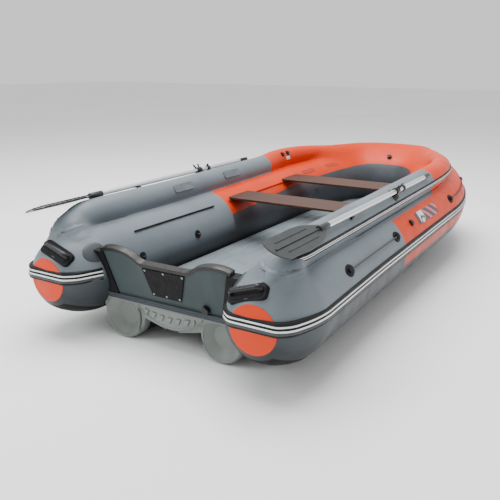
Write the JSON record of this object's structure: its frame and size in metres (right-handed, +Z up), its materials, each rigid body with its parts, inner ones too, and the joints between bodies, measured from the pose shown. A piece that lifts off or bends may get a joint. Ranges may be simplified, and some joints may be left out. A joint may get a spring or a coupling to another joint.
{
  "type": "inflatable dinghy",
  "caption": "Rigid-transom inflatable tunnel-hull dinghy with raised side tubes, inflated floor, sliding bench seats, swinging oars and grab lines.",
  "frame": {"origin": "middle of the underside of the whole boat, on the plane it rests on", "axes": "+X towards the bow, +Y to port, +Z up"},
  "size_m": [4.4834, 2.0404, 0.8736],
  "materials": {
    "grey_pvc": "satin",
    "orange_pvc": "satin",
    "floor_fabric": "matte",
    "hull_fabric": "matte",
    "fairing_plastic": "satin",
    "transom_paint": "satin",
    "rail_rubber": "satin",
    "black_rubber": "matte",
    "black_plastic": "satin",
    "trim_rubber": "satin",
    "oar_aluminium": "brushed",
    "blade_plastic": "satin",
    "bench_plywood": "satin",
    "screw_steel": "brushed",
    "rope": "matte",
    "label_vinyl": "gloss"
  },
  "bodies": {
    "hull": {"aft_seat_tracks": "black_rubber", "airdeck_floor": "floor_fabric", "bow_bulwark": "orange_pvc", "bow_chamber": "orange_pvc", "bow_tow_eye": "black_plastic", "drain_valve_body": "black_plastic", "fore_seat_tracks": "orange_pvc", "grab_line_pads": "black_rubber", "motor_pad_inner": "black_plastic", "motor_pad_outer": "black_plastic", "motor_pad_screws": "screw_steel", "oar_clips": "black_plastic", "port_bow_grab_line": "rope", "port_bulwark": "grey_pvc", "port_bulwark_rail": "rail_rubber", "port_hull_lobe": "hull_fabric", "port_oarlock_base": "black_plastic", "port_rub_rail": "rail_rubber", "port_side_chamber": "grey_pvc", "port_stern_grab_line": "rope", "side_labels": "label_vinyl", "starboard_bow_grab_line": "rope", "starboard_bulwark": "grey_pvc", "starboard_bulwark_rail": "rail_rubber", "starboard_hull_lobe": "hull_fabric", "starboard_oarlock_base": "black_plastic", "starboard_rub_rail": "rail_rubber", "starboard_side_chamber": "grey_pvc", "starboard_stern_grab_line": "rope", "stern_discs": "orange_pvc", "stern_fairing": "fairing_plastic", "stern_handle_bases": "black_plastic", "stern_handle_grips": "black_plastic", "stern_wear_strips": "black_rubber", "stowage_tabs": "grey_pvc", "tie_down_eyes": "black_plastic", "transom_board": "transom_paint", "transom_side_holders": "black_rubber", "transom_top_trim": "trim_rubber", "tunnel_roof": "hull_fabric", "valve_bodies": "black_plastic"},
    "aft_bench": {"aft_bench_board": "bench_plywood", "aft_bench_sliders": "black_plastic"},
    "bow_valve_cap_body": {"bow_valve_cap": "black_plastic"},
    "drain_flap_body": {"drain_valve_flap": "black_plastic"},
    "fore_bench": {"fore_bench_board": "bench_plywood", "fore_bench_sliders": "black_plastic"},
    "port_aft_valve_cap_body": {"port_aft_valve_cap": "black_plastic"},
    "port_fore_valve_cap_body": {"port_fore_valve_cap": "black_plastic"},
    "port_oar": {"port_oar_blade": "blade_plastic", "port_oar_collar": "black_plastic", "port_oar_grip": "black_plastic", "port_oar_shaft": "oar_aluminium"},
    "port_oarlock": {"port_oarlock_swivel": "black_plastic"},
    "starboard_oar": {"starboard_oar_blade": "blade_plastic", "starboard_oar_collar": "black_plastic", "starboard_oar_grip": "black_plastic", "starboard_oar_shaft": "oar_aluminium"},
    "starboard_oarlock": {"starboard_oarlock_swivel": "black_plastic"},
    "starboard_valve_cap_body": {"starboard_valve_cap": "black_plastic"}
  },
  "joints": [
    {"name": "port_oarlock_swing", "type": "hinge", "parent": "hull", "child": "port_oarlock", "pos_m": [-0.4685, 0.847, 0.825], "axis": [0, -0.5446, -0.8387], "range_deg": [0, 80]},
    {"name": "port_oar_feather", "type": "hinge", "parent": "port_oarlock", "child": "port_oar", "pos_m": [-0.4685, 0.847, 0.825], "axis": [1, 0, 0.0052], "range_deg": [-30, 20]},
    {"name": "starboard_oarlock_swing", "type": "hinge", "parent": "hull", "child": "starboard_oarlock", "pos_m": [-0.4685, -0.847, 0.825], "axis": [0, -0.5446, 0.8387], "range_deg": [0, 80]},
    {"name": "starboard_oar_feather", "type": "hinge", "parent": "starboard_oarlock", "child": "starboard_oar", "pos_m": [-0.4685, -0.847, 0.825], "axis": [-1, 0, -0.0052], "range_deg": [-30, 20]},
    {"name": "aft_bench_slide", "type": "slide", "parent": "hull", "child": "aft_bench", "axis": [0.9998, 0, 0.0188], "range_m": [0, 0.25]},
    {"name": "fore_bench_slide", "type": "slide", "parent": "hull", "child": "fore_bench", "axis": [0.9998, 0, 0.0188], "range_m": [-0.25, 0.05]},
    {"name": "bow_valve_turn", "type": "hinge", "parent": "hull", "child": "bow_valve_cap_body", "pos_m": [1.7775, 0, 0.737], "axis": [-0.6, 0, 0.8], "range_deg": [0, 90]},
    {"name": "port_aft_valve_turn", "type": "hinge", "parent": "hull", "child": "port_aft_valve_cap_body", "pos_m": [0.7165, 0.70541, 0.82813], "axis": [0, -0.7431, 0.6691], "range_deg": [0, 90]},
    {"name": "port_fore_valve_turn", "type": "hinge", "parent": "hull", "child": "port_fore_valve_cap_body", "pos_m": [0.8115, 0.70212, 0.83247], "axis": [0, -0.7431, 0.6691], "range_deg": [0, 90]},
    {"name": "starboard_valve_turn", "type": "hinge", "parent": "hull", "child": "starboard_valve_cap_body", "pos_m": [-0.3285, -0.92742, 0.57763], "axis": [0, -0.7986, 0.6018], "range_deg": [0, 90]},
    {"name": "drain_flap_hinge", "type": "hinge", "parent": "hull", "child": "drain_flap_body", "pos_m": [-1.98542, -0.279, 0.34339], "axis": [0, 1, 0], "range_deg": [0, 110]}
  ]
}
